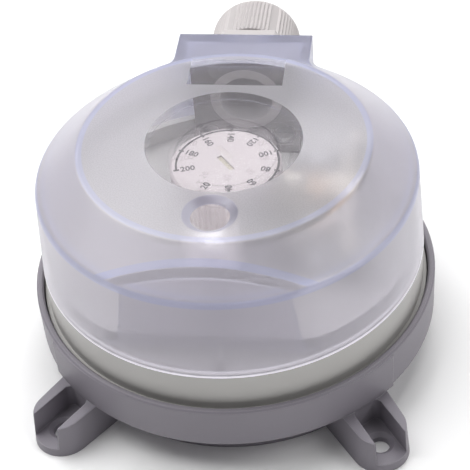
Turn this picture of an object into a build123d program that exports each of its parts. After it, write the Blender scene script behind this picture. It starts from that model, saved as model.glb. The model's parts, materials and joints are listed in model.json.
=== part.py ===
from build123d import *
import math
import os

# Differential pressure switch for air: a grey base with two screw ears, an off-white body that
# clamps a diaphragm onto it, and a clear cover over the setting knob, the contacts and the gland.
# Millimetres. Origin: rim axis at the base's underside. +Z up, -Y front, +Y towards the gland.

# Running gaps, and how far a cut runs past a face
part_gap = 0.3
slide_gap = 0.2
running_gap = 0.05
over = 1.0

# Base
foot_reach = 4.0
base_wall = 2.0
rim_reach = 2.5
rim_wall = 1.5
foot_height = 7.7
rim_height = 9.3
rim_edge = 0.4
pad_start = 33.5
pad_end = 54.0
pad_height = 0.45

# Screw ears
ear_hole_x = 32.5
ear_hole_y = -35.6
ear_hole_radius = 2.0
ear_sink_radius = 2.9
ear_sink_depth = 0.6
ear_turn = 33.0
ear_half_width = 5.9
ear_root_half_width = 7.0
ear_draft = 5.0
ear_floor = 2.0
trough_half_width = 3.5
trough_root_half_width = 3.0
trough_corner = 1.3
ear_root_reach = 18.0
trough_root_reach = 14.0
trough_tip_reach = 12.0

# Pressure chambers and the diaphragm clamped between them
chamber_radius = 25.5
chamber_wall = 3.5
clamp_below_rim = 4.5
bead_height = 1.0
diaphragm_sheet = 0.5
roll_gap = 0.3
roll_width = 3.2
roll_depth = 1.3
roll_slope = 0.8
plate_margin = 1.0
plate_height = 1.2
plate_hub_radius = 4.0
plate_hub_height = 3.0
plate_edge = 1.5
plate_rib = 0.9
plate_rib_height = 2.4
plate_rib_count = 8

# Body
body_wall = 2.0
flange_reach = 0.75
flange_height = 2.0
body_side = 7.2
deck_step = 0.3
deck_thickness = 2.0
spigot_height = 4.4
spigot_wall = 1.6
flat_inset = 8.4
pocket_rib_x = 1.5
pocket_rib = 1.0
pocket_rib_height = 2.6
lug_height = 6.2
seal_width = 0.8
seal_depth = 0.8

# Screws that hold the body on the base, from below
boss_radius = 3.9
boss_reach = 4.0
body_screw_angles = (20.0, 160.0, 200.0, 340.0)
body_screw_head_radius = 2.5
body_screw_head_height = 1.8
body_screw_radius = 1.3
body_screw_sink = 6.0
body_screw_length = 11.0
screw_cross = 1.75
screw_hole_spare = 1.0

# Hose tubes
tube_radius = 3.0
tube_bore = 1.3
tube_x = 21.0
tube_reach = 10.5
low_tube_drop = 2.1
high_tube_drop = 1.8
tube_edge = 0.5
tube_way_depth = 3.0
tube_root_radius = 2.8
tube_collar_radius = 3.7
tube_collar = 2.5
hose_length = 12.0

# Plunger, its bush and the spring cup
plunger_radius = 1.5
plunger_travel = 0.8
bush_radius = 3.0
bush_flange_radius = 4.0
bush_flange = 0.8
bush_length = 4.5
collar_radius = 2.6
collar_height = 1.0
cup_radius = 4.9
cup_height = 1.0
cup_lip = 0.6

# Contact lever
lever_above_deck = 4.7
lever_thickness = 0.5
lever_width = 5.6
lever_pivot_x = 14.0
lever_tip = 1.6
lever_fork_end = 3.0
lever_barrel = 1.3
lever_waist = 0.5
lever_notch = 2.0
lever_gap = 0.3
pin_radius = 0.6
contact_reach = 8.0
contact_radius = 1.2
contact_height = 0.5
closed_gap = 0.06

# Contact carrier and blade terminals
carrier_front = 2.4
carrier_rear = 6.0
carrier_half_width = 12.0
carrier_floor = 1.6
cheek_thickness = 1.6
cheek_length = 3.6
blade_width = 6.3
blade_thickness = 0.8
blade_height = 16.5
blade_pitch = 8.0
blade_point = 1.4
blade_hole = 0.85
carrier_back = 1.7
carrier_back_height = 7.0
carrier_screw_reach = 3.9
carrier_screw_y = 9.5
common_foot = 1.8
strip_half_width = 2.2
strip_rail = 2.4
contact_margin = 0.4

# Spring tower
tower_inner = 5.6
tower_wall = 2.0
tower_height = 17.0
tower_cap = 1.5
tower_foot_reach = 1.8
tower_foot = 2.0
tower_window_half_width = 3.3
key_half_width = 0.8
key_depth = 0.7
key_start = 2.0
window_spare = 1.0
screw_pad = 0.4

# Range spring and its nut
spring_wire = 0.5
spring_radius = 4.0
spring_turns = 4.5
nut_height = 2.2
spring_height = 5.55

# Spindle and knob
spindle_radius = 2.0
spindle_length = 9.8
groove_depth = 0.4
clip_thickness = 0.5
clip_radius = 3.3
clip_drop = 0.25
clip_mouth = 2.2
knob_radius = 11.4
knob_rise = 2.7
knob_height = 8.4
knob_face = 1.8
knob_skirt = 1.2
knob_ribs = 60
knob_rib_depth = 0.3
knob_edge = 0.5
knob_band = 1.6
tongue_length = 5.2
tongue_width = 1.1
tongue_drop = 0.35
tongue_angle = -51.0

# Clear cover
cover_reach = 3.0
cover_wall = 2.0
cover_side = 18.3
cover_draft = 1.2
cone_width = 9.2
cone_height = 7.5
top_edge = 1.3
shoulder_edge = 1.0
window_radius = 15.8
window_recess = 0.3
port_half_width = 10.0
port_front = 18.3
port_back = 27.2
port_corner = 2.5
panel_thickness = 1.5
panel_lift = 2.0

# Neck of the cover round the gland
neck_half_width = 14.6
neck_rise = 12.9
neck_wall = 2.0
neck_edge = 0.6
neck_flare = 3.5
neck_overlap = 0.5

# Cover screw, its well and its post
well_y = -21.7
well_radius = 3.8
well_wall = 1.55
well_sink = 1.0
well_depth = 11.0
well_base = 1.5
cover_screw_radius = 1.5
cover_screw_head_radius = 3.2
cover_screw_head = 2.4
cover_screw_length = 14.0
screw_edge = 0.4
screw_slot = 0.8
washer_thickness = 0.6
post_radius = 3.0
post_base_radius = 4.2
post_flare = 6.0

# Cable gland
gland_rise = 10.8
gland_bore = 5.85
gland_thread = 8.0
barrel_radius = 8.4
barrel_in_cap = 5.8
hex_across = 20.0
hex_length = 5.1
cap_wall = 1.8
cap_gap = 0.8
cap_length = 14.2
cap_dome = 5.2
cap_edge = 0.4
cap_mouth = 5.2
cap_cone_out = 0.6
cap_cone_start = 1.2
cap_cone_length = 1.7
cap_ribs = 10
cap_rib_groups = 6
cap_rib_depth = 0.4
cap_gap_share = 0.16
seal_bore = 3.5
seal_radius = 5.6
seal_length = 8.0
seal_straight = 5.6
seal_taper = 0.9
cage_wall = 1.1
cage_length = 7.2
cage_straight = 5.0
cage_slit_start = 2.8
cage_fingers = 10
cage_slit = 0.7

# Gland holder on the deck
holder_half_width = 12.0
holder_length = 5.0
holder_end_gap = 0.4
holder_corner = 1.5
holder_foot = 2.2
holder_foot_length = 5.5
holder_screw_x = 8.5

# Small screws inside
small_head_radius = 2.2
small_head_height = 1.4
small_screw_radius = 1.2
small_screw_length = 5.0

# Sizes that follow, from the bottom up
rim_bottom = foot_height
rim_top = rim_bottom + rim_height
chamber_outer = chamber_radius + chamber_wall
boss_circle = chamber_outer + boss_reach
foot_radius = boss_circle + foot_reach
cover_radius = foot_radius + cover_reach
rim_radius = cover_radius + rim_reach
rim_inner = rim_radius - rim_wall
clamp_low = rim_top - clamp_below_rim
clamp_high = clamp_low + bead_height
body_radius = cover_radius
flange_radius = body_radius + flange_reach
ledge_height = rim_top + body_side
deck_top = ledge_height + deck_step
spigot_top = ledge_height + spigot_height
flat_y = cover_radius - flat_inset
shoulder_radius = cover_radius - cover_draft
shoulder_height = ledge_height + cover_side
top_radius = shoulder_radius - cone_width
top_height = shoulder_height + cone_height
roll_outer = chamber_radius - roll_gap
roll_inner = roll_outer - roll_width
plate_radius = roll_inner - plate_margin
body_screw_head_low = body_screw_sink
tube_end = rim_radius + tube_reach
tube_stop = tube_end - tube_edge - hose_length
low_tube_height = clamp_low - low_tube_drop
high_tube_height = deck_top - deck_thickness - high_tube_drop
lever_height = deck_top + lever_above_deck
contact_x = lever_pivot_x + contact_reach
lever_tip_x = contact_x + lever_tip
carrier_low_x = lever_pivot_x - carrier_front
carrier_high_x = contact_x + carrier_rear
carrier_screw_x = lever_pivot_x + carrier_screw_reach
carrier_back_top = deck_top + carrier_back_height
blade_top = deck_top + blade_height
tower_outer = tower_inner + tower_wall
tower_foot_radius = tower_outer + tower_foot_reach
tower_top = deck_top + tower_height
clip_height = tower_top - tower_cap - clip_drop - clip_thickness
knob_top = tower_top + knob_rise
knob_bottom = knob_top - knob_height
spindle_top = knob_top - knob_face
spindle_low = spindle_top - spindle_length
panel_bottom = ledge_height + panel_lift
well_floor = top_height - well_depth
well_bottom = well_floor - well_base
gland_height = ledge_height + gland_rise
neck_top = gland_height + neck_rise
cap_radius = barrel_radius + cap_wall
joint_face = (clamp_low + clamp_high) / 2
deck_bottom = deck_top - deck_thickness
cover_inner = cover_radius - cover_wall
cover_taper = (cover_radius - shoulder_radius) / (shoulder_height - ledge_height)
cone_angle = math.atan2(top_height - shoulder_height, shoulder_radius - top_radius)
spigot_outer = cover_inner - cover_taper * (spigot_top - ledge_height) - slide_gap
sheet_low = joint_face - diaphragm_sheet / 2
sheet_high = sheet_low + diaphragm_sheet
lever_low = lever_height - lever_thickness / 2
lever_high = lever_low + lever_thickness
collar_top = lever_low - lever_gap
cup_low = lever_high + lever_gap
cup_top = cup_low + cup_height
nut_rest = cup_top + spring_height
contact_swing = plunger_travel * (contact_x - lever_pivot_x) / lever_pivot_x
contact_low = lever_low - contact_height
contact_high = lever_high + contact_height
ear_direction = math.radians(ear_turn - 90)
tower_seat = deck_top + tower_foot
neck_end = cover_radius
neck_inner_end = neck_end - neck_wall
holder_front = neck_inner_end - holder_length
holder_back = neck_inner_end - holder_end_gap
holder_top = neck_top - neck_wall - part_gap
hex_start = neck_end + part_gap
cap_start = hex_start + hex_length + cap_gap
cap_end = cap_start + cap_length
barrel_end = cap_start + barrel_in_cap
cheek_gap = lever_width / 2 - lever_waist + part_gap
cover_screw_seat = well_floor + washer_thickness
cover_screw_end = cover_screw_seat - cover_screw_length
seal_middle = body_radius - body_wall / 2


def disc(radius, low, high, x=0.0, y=0.0):
    """Upright cylinder between two heights."""
    return Pos(x, y, (low + high) / 2) * Cylinder(radius, high - low)


def ring(outer, inner, low, high, x=0.0, y=0.0):
    return disc(outer, low, high, x, y) - disc(inner, low - over, high + over, x, y)


def block(x0, x1, y0, y1, z0, z1):
    middle = Pos((x0 + x1) / 2, (y0 + y1) / 2, (z0 + z1) / 2)
    return middle * Box(x1 - x0, y1 - y0, z1 - z0)


def rod(radius, y0, y1, x=0.0, z=0.0):
    """Cylinder along Y."""
    return Pos(x, (y0 + y1) / 2, z) * Rot(90, 0, 0) * Cylinder(radius, y1 - y0)


def turned(points):
    """Solid of revolution about Z from a closed outline of radius and height."""
    face = Plane.XZ * make_face(Polyline(*points, close=True))
    return revolve(face, Axis.Z)


def gland_turned(points):
    """Solid of revolution about the gland's axis from a closed outline of radius and Y."""
    face = make_face(Polyline(*points, close=True))
    return Pos(0, 0, gland_height) * revolve(face, Axis.Y)


def at_angle(radius, degrees):
    angle = math.radians(degrees)
    return radius * math.cos(angle), radius * math.sin(angle)


def mirrored(part):
    return mirror(part, about=Plane.YZ)


# Base

def ear_ends(half_width, reach):
    """Two points across the ear's axis, at a distance out past the hole."""
    along = Vector(math.cos(ear_direction), math.sin(ear_direction))
    across = Vector(-along.Y, along.X) * half_width
    middle = Vector(ear_hole_x, ear_hole_y) + along * reach
    return middle - across, middle + across


def ear_outline(height):
    """Level section of an ear: a round tip with straight sides that open towards the foot."""
    inset = height * math.tan(math.radians(ear_draft))
    tip = Pos(ear_hole_x, ear_hole_y) * Rot(0, 0, ear_turn + 90) * Circle(ear_half_width - inset)
    root = Line(*ear_ends(ear_root_half_width - inset, -ear_root_reach))
    return Pos(0, 0, height) * make_hull(tip.edges() + root.edges())


def ear_body():
    return loft([ear_outline(0), ear_outline(rim_bottom)], ruled=True)


def ear_trough():
    """The open channel in an ear, from the rim's wall out past the tip."""
    left, right = ear_ends(trough_half_width, trough_tip_reach)
    root_left, root_right = ear_ends(trough_root_half_width, -trough_root_reach)
    strip = make_face(Polyline(left, right, root_right, root_left, close=True))
    plan = strip - Circle(rim_radius)
    back = plan.vertices().sort_by_distance((0, 0, 0))[0:2]
    plan = fillet(back, trough_corner)
    return Pos(0, 0, ear_floor) * extrude(plan, amount=rim_bottom - ear_floor)


def ear_hole():
    hole = disc(ear_hole_radius, -over, ear_floor + over, ear_hole_x, ear_hole_y)
    sink = Pos(ear_hole_x, ear_hole_y, ear_floor - ear_sink_depth / 2)
    return hole + sink * Cone(ear_hole_radius, ear_sink_radius, ear_sink_depth)


def rim_pad():
    """Thickening of the rim over an ear that grows from nothing to a step."""
    span = math.radians(pad_end - pad_start)
    shift = pad_height / math.sin(span)
    lean = math.radians(pad_start)
    centre = shift * math.cos(lean), shift * math.sin(lean)
    swollen = disc(rim_radius, rim_bottom, rim_top - rim_edge, *centre)
    reach = 2 * rim_radius
    first = at_angle(reach, pad_start - 90)
    last = at_angle(reach, pad_end - 90)
    wedge = extrude(make_face(Polyline((0, 0), first, last, close=True)), amount=rim_top)
    return (swollen & wedge) - disc(rim_inner, 0, rim_top)


def make_base():
    shell = turned([
        (0, 0), (foot_radius, 0), (foot_radius, rim_bottom), (rim_radius, rim_bottom),
        (rim_radius, rim_top), (rim_inner, rim_top), (rim_inner, rim_bottom + base_wall),
        (foot_radius - base_wall, rim_bottom + base_wall), (foot_radius - base_wall, base_wall),
        (chamber_outer, base_wall), (chamber_outer, clamp_low), (chamber_radius, clamp_low),
        (chamber_radius, base_wall), (0, base_wall)])
    shell = chamfer(shell.edges().group_by(Axis.Z)[-1], rim_edge)
    pads = rim_pad()
    ears = ear_body() - disc(foot_radius - base_wall / 2, -over, rim_top)
    cuts = ear_trough() + ear_hole()
    base = shell + pads + mirrored(pads) + ears + mirrored(ears)
    base = base - cuts - mirrored(cuts) - disc(rim_inner, rim_bottom + base_wall, rim_top + over)
    base += turned([
        (chamber_radius, base_wall), (chamber_outer, base_wall), (chamber_outer, clamp_low),
        (chamber_radius, clamp_low)])
    for angle in body_screw_angles:
        x, y = at_angle(boss_circle, angle)
        base += disc(boss_radius, base_wall, joint_face, x, y) - disc(chamber_outer, 0, rim_top)
    for angle in body_screw_angles:
        x, y = at_angle(boss_circle, angle)
        head_end = body_screw_head_low + body_screw_head_height
        base -= disc(body_screw_head_radius + part_gap, -over, head_end, x, y)
        base -= disc(body_screw_radius + slide_gap, 0, rim_top, x, y)
    base += hose_tube(tube_x, low_tube_height)
    base -= disc(chamber_outer, clamp_low, rim_top + over)
    base -= tube_way(tube_x, low_tube_height)
    return base


def hose_tube(x, z):
    """Tube to the back from inside its chamber's wall, with a collar that stops the hose."""
    start = math.sqrt(chamber_outer ** 2 - x ** 2) - chamber_wall / 2
    tube = rod(tube_radius, tube_stop, tube_end, x, z)
    tube = chamfer(tube.edges().sort_by(Axis.Y)[-1], tube_edge)
    tube += rod(tube_collar_radius, tube_stop - tube_collar, tube_stop, x, z)
    return tube + rod(tube_root_radius, start, tube_stop, x, z)


def tube_way(x, z):
    return rod(tube_bore, math.sqrt(chamber_radius ** 2 - x ** 2) - tube_way_depth, tube_end + over, x, z)


def body_screw(x, y):
    head = disc(body_screw_head_radius, body_screw_head_low,
                body_screw_head_low + body_screw_head_height, x, y)
    shank = disc(body_screw_radius, body_screw_head_low,
                 body_screw_head_low + body_screw_length, x, y)
    cross = block(x - screw_cross, x + screw_cross, y - screw_slot / 2, y + screw_slot / 2,
                  body_screw_head_low - over, body_screw_head_low + screw_slot)
    cross += block(x - screw_slot / 2, x + screw_slot / 2, y - screw_cross, y + screw_cross,
                   body_screw_head_low - over, body_screw_head_low + screw_slot)
    return head + shank - cross


# Diaphragm and what it lifts

def make_diaphragm():
    """Moulded sheet with a clamped bead and one folded roll that hangs below it."""
    low = sheet_low - roll_depth
    slope = diaphragm_sheet + roll_slope
    sheet = turned([
        (0, sheet_low), (roll_inner, sheet_low), (roll_inner + roll_slope, low),
        (roll_outer - roll_slope, low), (roll_outer, sheet_low), (chamber_radius, sheet_low),
        (chamber_radius, sheet_high), (roll_outer - diaphragm_sheet, sheet_high),
        (roll_outer - slope, low + diaphragm_sheet), (roll_inner + slope, low + diaphragm_sheet),
        (roll_inner + diaphragm_sheet, sheet_high), (0, sheet_high)])
    return sheet + ring(chamber_outer, chamber_radius, clamp_low, clamp_high)


def make_diaphragm_plate():
    """Ribbed disc that rides on the diaphragm, with a hub for the plunger."""
    low = sheet_high
    plate = disc(plate_radius, low, low + plate_height)
    plate += disc(plate_hub_radius, low, low + plate_hub_height)
    rib = block(plate_hub_radius / 2, plate_radius - plate_edge, -plate_rib / 2, plate_rib / 2,
                low + plate_height / 2, low + plate_rib_height)
    for step in range(plate_rib_count):
        plate += Rot(0, 0, step * 360 / plate_rib_count) * rib
    return plate - disc(plunger_radius, low - over, low + plate_hub_height + over)


def make_plunger():
    plunger = disc(plunger_radius, sheet_high, cup_top)
    return plunger + disc(collar_radius, collar_top - collar_height, collar_top)


def make_spring_cup():
    cup = disc(cup_radius, cup_low, cup_top) - disc(plunger_radius, cup_low - over, cup_top + over)
    return cup + ring(cup_radius, cup_radius - cup_lip + slide_gap, cup_low, cup_top + cup_lip)


def make_plunger_bush():
    bush = disc(bush_radius, deck_top - bush_length, deck_top)
    bush += disc(bush_flange_radius, deck_top, deck_top + bush_flange)
    return bush - disc(plunger_radius + running_gap, 0, top_height)


# Body

def spigot_wall_ring():
    """Wall inside the cover's edge, round but for one flat at the front."""
    wide = body_radius
    front = block(-wide, wide, -wide, -flat_y, 0, top_height)
    inner_front = block(-wide, wide, -wide, spigot_wall - flat_y, 0, top_height)
    outside = disc(spigot_outer, deck_bottom, spigot_top) - front
    inside = disc(spigot_outer - spigot_wall, deck_bottom - over, spigot_top + over) - inner_front
    return outside - inside


def make_body():
    """Off-white moulding: upper chamber, deck, ledge for the cover and screw post."""
    body = turned([
        (0, deck_bottom), (chamber_radius, deck_bottom), (chamber_radius, clamp_high),
        (chamber_outer, clamp_high), (chamber_outer, deck_bottom),
        (body_radius - body_wall, deck_bottom), (body_radius - body_wall, clamp_high),
        (flange_radius, clamp_high), (flange_radius, clamp_high + flange_height),
        (body_radius, clamp_high + flange_height), (body_radius, ledge_height),
        (spigot_outer, ledge_height), (spigot_outer, deck_top), (0, deck_top)])
    body += spigot_wall_ring()
    body += block(-neck_half_width, neck_half_width, spigot_outer - spigot_wall, neck_end,
                  ledge_height - lug_height, ledge_height)
    body -= block(-holder_half_width - part_gap, holder_half_width + part_gap,
                  holder_front - slide_gap, neck_end, deck_top, spigot_top + over)
    body -= disc(body_radius - body_wall, clamp_high - over, deck_bottom) - disc(chamber_outer, 0, top_height)
    body += disc(post_radius, deck_top, well_bottom, 0, well_y)
    body += Pos(0, well_y, deck_top + post_flare / 2) * Cone(post_base_radius, post_radius, post_flare)
    rib_side = pocket_rib_x + pocket_rib
    rib_front = math.sqrt(spigot_outer ** 2 - rib_side ** 2) - slide_gap
    body += block(pocket_rib_x, rib_side, -rib_front, -flat_y - panel_thickness - part_gap - slide_gap,
                  ledge_height, ledge_height + pocket_rib_height)
    for angle in body_screw_angles:
        x, y = at_angle(boss_circle, angle)
        body += disc(boss_radius, joint_face, deck_bottom, x, y) - disc(chamber_outer, 0, top_height)
    for angle in body_screw_angles:
        x, y = at_angle(boss_circle, angle)
        body -= disc(body_screw_radius, 0, body_screw_head_low + body_screw_length + screw_hole_spare, x, y)
    body += hose_tube(-tube_x, high_tube_height)
    body -= tube_way(-tube_x, high_tube_height)
    body -= disc(bush_radius, 0, top_height)
    body -= disc(cover_screw_radius, cover_screw_end - slide_gap, top_height, 0, well_y)
    for x, y in deck_screws():
        body -= disc(small_screw_radius, deck_bottom - over, top_height, x, y)
    body -= seal_ring()
    return body


def seal_zone():
    """Where the cover's round edge sits on the ledge: all round but for the neck."""
    half = neck_half_width + neck_flare
    return disc(cover_radius, 0, ledge_height) - block(-half, half, 0, neck_end, 0, top_height)


def seal_ring():
    return ring(seal_middle + seal_width / 2, seal_middle - seal_width / 2,
                ledge_height - seal_depth, ledge_height) & seal_zone()


def tower_screw_places():
    reach = tower_foot_radius + small_head_radius - screw_pad
    return [(0, reach), (0, -reach)]


def carrier_screw_places():
    return [(carrier_screw_x, carrier_screw_y), (carrier_screw_x, -carrier_screw_y)]


def holder_screw_places():
    y = holder_front - holder_foot_length / 2
    return [(holder_screw_x, y), (-holder_screw_x, y)]


def deck_screws():
    return tower_screw_places() + carrier_screw_places() + holder_screw_places()


def small_screw(x, y, seat):
    """Slotted pan-head screw whose head sits at the given height."""
    head = disc(small_head_radius, seat, seat + small_head_height, x, y)
    shank = disc(small_screw_radius, seat - small_screw_length, seat, x, y)
    slot = block(x - small_head_radius, x + small_head_radius, y - screw_slot / 2,
                 y + screw_slot / 2, seat + small_head_height / 2, seat + small_head_height + over)
    return head + shank - slot


# Setting spring, tower and knob

def make_spring_tower():
    """Tube that guides the spring nut, with a foot, a lever window and a bearing on top."""
    tower = disc(tower_outer, deck_top, tower_top)
    tower += disc(tower_foot_radius, deck_top, tower_seat)
    for x, y in tower_screw_places():
        tower += disc(small_head_radius + screw_pad, deck_top, tower_seat, x, y)
    tower -= disc(tower_inner, deck_top - over, tower_top - tower_cap)
    key_low = cup_top + key_start
    tower_middle = (tower_inner + tower_outer) / 2
    for side in (1, -1):
        edges = sorted((side * (tower_inner - key_depth), side * tower_middle))
        tower += block(-key_half_width, key_half_width, edges[0], edges[1],
                       key_low, tower_top - tower_cap)
    window_low = collar_top - collar_height - part_gap
    window_high = cup_low + plunger_travel + window_spare
    tower -= block(0, tower_outer + over, -tower_window_half_width, tower_window_half_width,
                   window_low, window_high)
    tower -= disc(spindle_radius + running_gap, tower_seat, top_height)
    for x, y in tower_screw_places():
        tower -= disc(small_screw_radius + slide_gap, 0, tower_seat + over, x, y)
    return tower


def make_spring_nut():
    nut = disc(tower_inner - slide_gap, nut_rest, nut_rest + nut_height)
    for side in (1, -1):
        edges = sorted((side * (tower_inner - key_depth - slide_gap), side * (tower_inner + over)))
        nut -= block(-key_half_width - slide_gap, key_half_width + slide_gap, edges[0], edges[1],
                     nut_rest - over, nut_rest + nut_height + over)
    return nut - disc(spindle_radius + running_gap, nut_rest - over, nut_rest + nut_height + over)


def make_range_spring():
    low = cup_top + spring_wire / 2
    high = nut_rest - spring_wire / 2
    pitch = (high - low) / spring_turns
    path = Pos(0, 0, low) * Helix(pitch, high - low, spring_radius)
    start = Plane(origin=path @ 0, z_dir=path % 0)
    coil = sweep(start * RegularPolygon(spring_wire / 2, 6), path=path, is_frenet=True)
    slab = disc(spring_radius + spring_wire, cup_top, nut_rest)
    return coil & slab


def make_spindle():
    spindle = disc(spindle_radius, spindle_low, spindle_top)
    spindle -= ring(spindle_radius + over, spindle_radius - groove_depth, clip_height,
                    clip_height + clip_thickness + running_gap)
    tongue = block(-tongue_length / 2, tongue_length / 2, -tongue_width / 2, tongue_width / 2,
                   spindle_top, knob_top - tongue_drop)
    return spindle + Rot(0, 0, tongue_angle) * tongue


def make_spindle_clip():
    clip = ring(clip_radius, spindle_radius - groove_depth, clip_height, clip_height + clip_thickness)
    return clip - block(-clip_mouth / 2, clip_mouth / 2, 0, clip_radius + over, 0, top_height)


def fluted(outer, depth, count, height):
    """Prism whose outline is a ring of small points, for a knurled grip."""
    points = []
    for step in range(count):
        points.append(at_angle(outer, 360 * step / count))
        points.append(at_angle(outer - depth, 360 * (step + 0.5) / count))
    return extrude(make_face(Polyline(*points, close=True)), amount=height)


def make_knob():
    """Dial and grip in one moulding, hollow below."""
    grip_top = knob_top - knob_band
    knob = disc(knob_radius, grip_top, knob_top)
    knob = chamfer(knob.edges().group_by(Axis.Z)[-1], knob_edge)
    knob += Pos(0, 0, knob_bottom) * fluted(knob_radius, knob_rib_depth, knob_ribs,
                                            grip_top - knob_bottom)
    knob -= disc(knob_radius - knob_skirt, knob_bottom - over, knob_top - knob_face)
    knob += ring(tower_inner, spindle_radius, tower_top + running_gap, knob_top - knob_face)
    slot = block(-tongue_length / 2, tongue_length / 2, -tongue_width / 2, tongue_width / 2,
                 knob_top - knob_face - over, knob_top + over)
    return knob - disc(spindle_radius, 0, knob_top - knob_face) - Rot(0, 0, tongue_angle) * slot


# Contacts

def make_lever():
    """Thin contact lever: fork round the plunger, barrel on the pin, tip under the contacts."""
    strip = block(-lever_fork_end, lever_tip_x, -lever_width / 2, lever_width / 2,
                  lever_low, lever_high)
    slot = plunger_radius + part_gap
    strip -= block(-lever_fork_end - over, 0, -slot, slot, 0, top_height)
    strip -= disc(slot, 0, top_height)
    half = cheek_gap - part_gap
    barrel = rod(lever_barrel, -half, half, lever_pivot_x, lever_height)
    low_x = lever_pivot_x - lever_notch
    high_x = lever_pivot_x + lever_notch
    strip -= block(low_x, high_x, -lever_width, -half, 0, top_height)
    strip -= block(low_x, high_x, half, lever_width, 0, top_height)
    bore = rod(pin_radius + running_gap, -half - over, half + over, lever_pivot_x, lever_height)
    lever = strip + barrel - bore
    return lever - disc(contact_radius / 2, 0, top_height, contact_x)


def make_lever_contact():
    button = disc(contact_radius, contact_low, lever_low, contact_x)
    button += disc(contact_radius, lever_high, contact_high, contact_x)
    return button + disc(contact_radius / 2, lever_low, lever_high, contact_x)


def make_lever_pin():
    reach = cheek_gap + cheek_thickness + part_gap + blade_thickness
    return rod(pin_radius, -reach, cheek_gap + cheek_thickness, lever_pivot_x, lever_height)


def blade(x, y, low):
    """Upright flat connector blade with a pointed end and a catch hole."""
    half = blade_width / 2
    outline = Polyline((y - half, low), (y + half, low), (y + half, blade_top - blade_point),
                       (y + half - blade_point, blade_top), (y - half + blade_point, blade_top),
                       (y - half, blade_top - blade_point), close=True)
    face = Plane.YZ * make_face(outline)
    plate = Pos(x - blade_thickness / 2, 0, 0) * extrude(face, amount=blade_thickness)
    hole = Pos(x, y, blade_top - blade_width / 2) * Rot(0, 90, 0) * Cylinder(
        blade_hole, blade_thickness + 2 * over)
    return plate - hole


def blade_x():
    return carrier_high_x - carrier_back - blade_thickness / 2


def fixed_strip(low, side):
    """Strip under or over the lever's tip that runs along the carrier to its blade."""
    inner = contact_x - contact_radius - contact_margin
    outer = blade_x() + blade_thickness / 2
    strip = block(inner, outer, -strip_half_width, strip_half_width, low, low + blade_thickness)
    reach = side * (blade_pitch + blade_width / 2)
    edges = sorted((side * -strip_half_width, reach))
    return strip + block(outer - strip_rail, outer, edges[0], edges[1], low, low + blade_thickness)


def lower_strip_low():
    return contact_low - contact_swing - closed_gap - contact_height - blade_thickness


def upper_strip_low():
    return contact_high + closed_gap + contact_height


def make_lower_terminal():
    low = lower_strip_low()
    strip = fixed_strip(low, 1) + blade(blade_x(), blade_pitch, low)
    return strip - disc(contact_radius / 2, 0, top_height, contact_x)


def make_upper_terminal():
    low = upper_strip_low()
    strip = fixed_strip(low, -1) + blade(blade_x(), -blade_pitch, low)
    return strip - disc(contact_radius / 2, 0, top_height, contact_x)


def make_lower_contact():
    low = lower_strip_low()
    top = low + blade_thickness
    rivet = disc(contact_radius / 2, low, top, contact_x)
    return rivet + disc(contact_radius, top, top + contact_height, contact_x)


def make_upper_contact():
    low = upper_strip_low()
    rivet = disc(contact_radius / 2, low, low + blade_thickness, contact_x)
    return rivet + disc(contact_radius, low - contact_height, low, contact_x)


def common_y():
    """Inner edge of the common terminal, beside its cheek."""
    return cheek_gap + cheek_thickness + part_gap


def make_common_terminal():
    """Blade that stands on a foot beside the lever's pin and takes its end."""
    floor = deck_top + carrier_floor
    inner = -common_y()
    upright = Rot(0, 0, 90) * blade(0, 0, floor)
    upright = Pos(lever_pivot_x, inner - blade_thickness / 2, 0) * upright
    foot = block(lever_pivot_x - blade_width / 2, lever_pivot_x + blade_width / 2,
                 inner - blade_thickness - common_foot, inner, floor, floor + blade_thickness)
    return upright + foot - rod(pin_radius, -carrier_half_width, 0, lever_pivot_x, lever_height)


def make_contact_carrier():
    """Insulating block: floor, two cheeks for the pin and a back wall for the blades."""
    floor_top = deck_top + carrier_floor
    carrier = block(carrier_low_x, carrier_high_x, -carrier_half_width, carrier_half_width,
                    deck_top, floor_top)
    carrier -= disc(tower_foot_radius + part_gap, 0, top_height)
    for side in (1, -1):
        edges = sorted((side * cheek_gap, side * (cheek_gap + cheek_thickness)))
        cheek = block(lever_pivot_x - cheek_length / 2, lever_pivot_x + cheek_length / 2,
                      edges[0], edges[1], floor_top, lever_height)
        cheek += rod(cheek_length / 2, edges[0], edges[1], lever_pivot_x, lever_height)
        carrier += cheek
    carrier -= rod(pin_radius, -carrier_half_width, carrier_half_width, lever_pivot_x, lever_height)
    carrier += block(carrier_high_x - carrier_back, carrier_high_x, -carrier_half_width,
                     carrier_half_width, deck_top, carrier_back_top)
    low = lower_strip_low()
    back = carrier_high_x - carrier_back
    reach = blade_pitch + blade_width / 2
    inner = contact_x - contact_radius - contact_margin
    carrier += block(back - strip_rail, back, strip_half_width, reach, floor_top, low)
    carrier += block(back - strip_rail, back, -reach, -strip_half_width - part_gap,
                     floor_top, upper_strip_low())
    carrier += block(inner, back, -strip_half_width, strip_half_width, floor_top, low)
    for x, y in carrier_screw_places():
        carrier -= disc(small_screw_radius + slide_gap, 0, top_height, x, y)
    return carrier


# Clear cover

def wall_radius(height):
    """Radius of the cover's outer wall at a height, up the side and then the cone."""
    side = cover_radius - cover_taper * (height - ledge_height)
    cone = shoulder_radius - (height - shoulder_height) / math.tan(cone_angle)
    return min(side, cone)


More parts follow.
